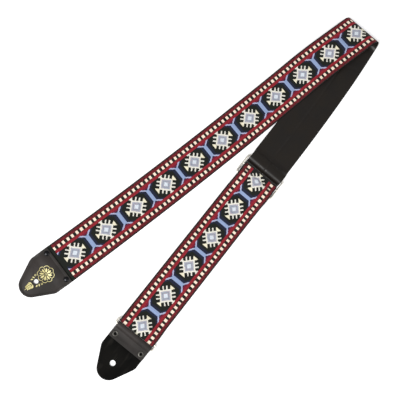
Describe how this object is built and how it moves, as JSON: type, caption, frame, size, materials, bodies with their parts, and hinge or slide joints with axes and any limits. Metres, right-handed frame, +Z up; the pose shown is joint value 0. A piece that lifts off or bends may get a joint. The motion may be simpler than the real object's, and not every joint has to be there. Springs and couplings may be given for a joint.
{
  "type": "guitar strap",
  "caption": "Woven two-inch guitar strap with vinyl backing, wire tri-glide slider, ring and riveted leather end tabs with button holes, laid folded over once.",
  "frame": {"origin": "bottom centre of the box of the strap as it lies folded on a table", "axes": "+X along the lower arm towards the fold, +Y towards the upper arm's side, +Z up from the table"},
  "size_m": [0.5614, 0.18, 0.0219],
  "materials": {
    "woven_ribbon": "woven jacquard, matt",
    "vinyl_backing": "smooth soft vinyl, low sheen",
    "tab_leather": "dyed leather, satin",
    "nickel_wire": "nickel plated, polished",
    "blackened_rivet": "blackened brass, satin"
  },
  "bodies": {
    "lower_strap": {"lower_run_ribbon": "woven_ribbon", "lower_run_backing": "vinyl_backing", "fold_ribbon": "woven_ribbon", "fold_backing": "vinyl_backing"},
    "upper_arm": {"upper_arm_ribbon": "woven_ribbon", "upper_arm_backing": "vinyl_backing", "upper_tab": "tab_leather", "upper_rivet_caps": "blackened_rivet", "upper_rivet_shanks": "blackened_rivet"},
    "slider": {"slider_frame": "nickel_wire", "slider_centre_bar": "nickel_wire", "passage_ribbon": "woven_ribbon", "passage_backing": "vinyl_backing", "tail_ribbon": "woven_ribbon", "tail_backing": "vinyl_backing", "free_run_ribbon": "woven_ribbon", "free_run_backing": "vinyl_backing", "under_run_ribbon": "woven_ribbon", "under_run_backing": "vinyl_backing", "return_run_ribbon": "woven_ribbon", "return_run_backing": "vinyl_backing"},
    "ring_turn": {"ring_turn_ribbon": "woven_ribbon", "ring_turn_backing": "vinyl_backing"},
    "ring": {"ring": "nickel_wire"},
    "lower_tab": {"lower_tab": "tab_leather", "lower_eyelets": "blackened_rivet", "lower_eyelet_washers": "blackened_rivet"}
  },
  "joints": [
    {"name": "unfold", "type": "hinge", "parent": "lower_strap", "child": "upper_arm", "pos_m": [0.26985, -0.05358, 0.00875], "axis": [0.1502, 0.9887, 0], "range_deg": [0, 135], "deforming": ["fold_ribbon", "fold_backing"]},
    {"name": "slider_slide", "type": "slide", "parent": "lower_strap", "child": "slider", "axis": [1, 0, 0], "range_m": [-0.36, 0.035], "deforming": ["free_run_ribbon", "free_run_backing"]},
    {"name": "ring_slide", "type": "slide", "parent": "slider", "child": "ring_turn", "axis": [1, 0, 0], "range_m": [-0.0175, 0.18], "deforming": ["under_run_ribbon", "under_run_backing", "return_run_ribbon", "return_run_backing"]},
    {"name": "ring_tilt", "type": "hinge", "parent": "ring_turn", "child": "ring", "pos_m": [-0.2129, -0.06113, 0.004], "axis": [0, 1, 0], "range_deg": [0, 60]},
    {"name": "tab_swing", "type": "hinge", "parent": "ring", "child": "lower_tab", "pos_m": [-0.22045, -0.06113, 0.004], "axis": [0, 1, 0], "range_deg": [0, 105]}
  ],
  "couplings": [
    {"joint": "ring_slide", "follows": "slider_slide", "ratio": -0.5}
  ]
}
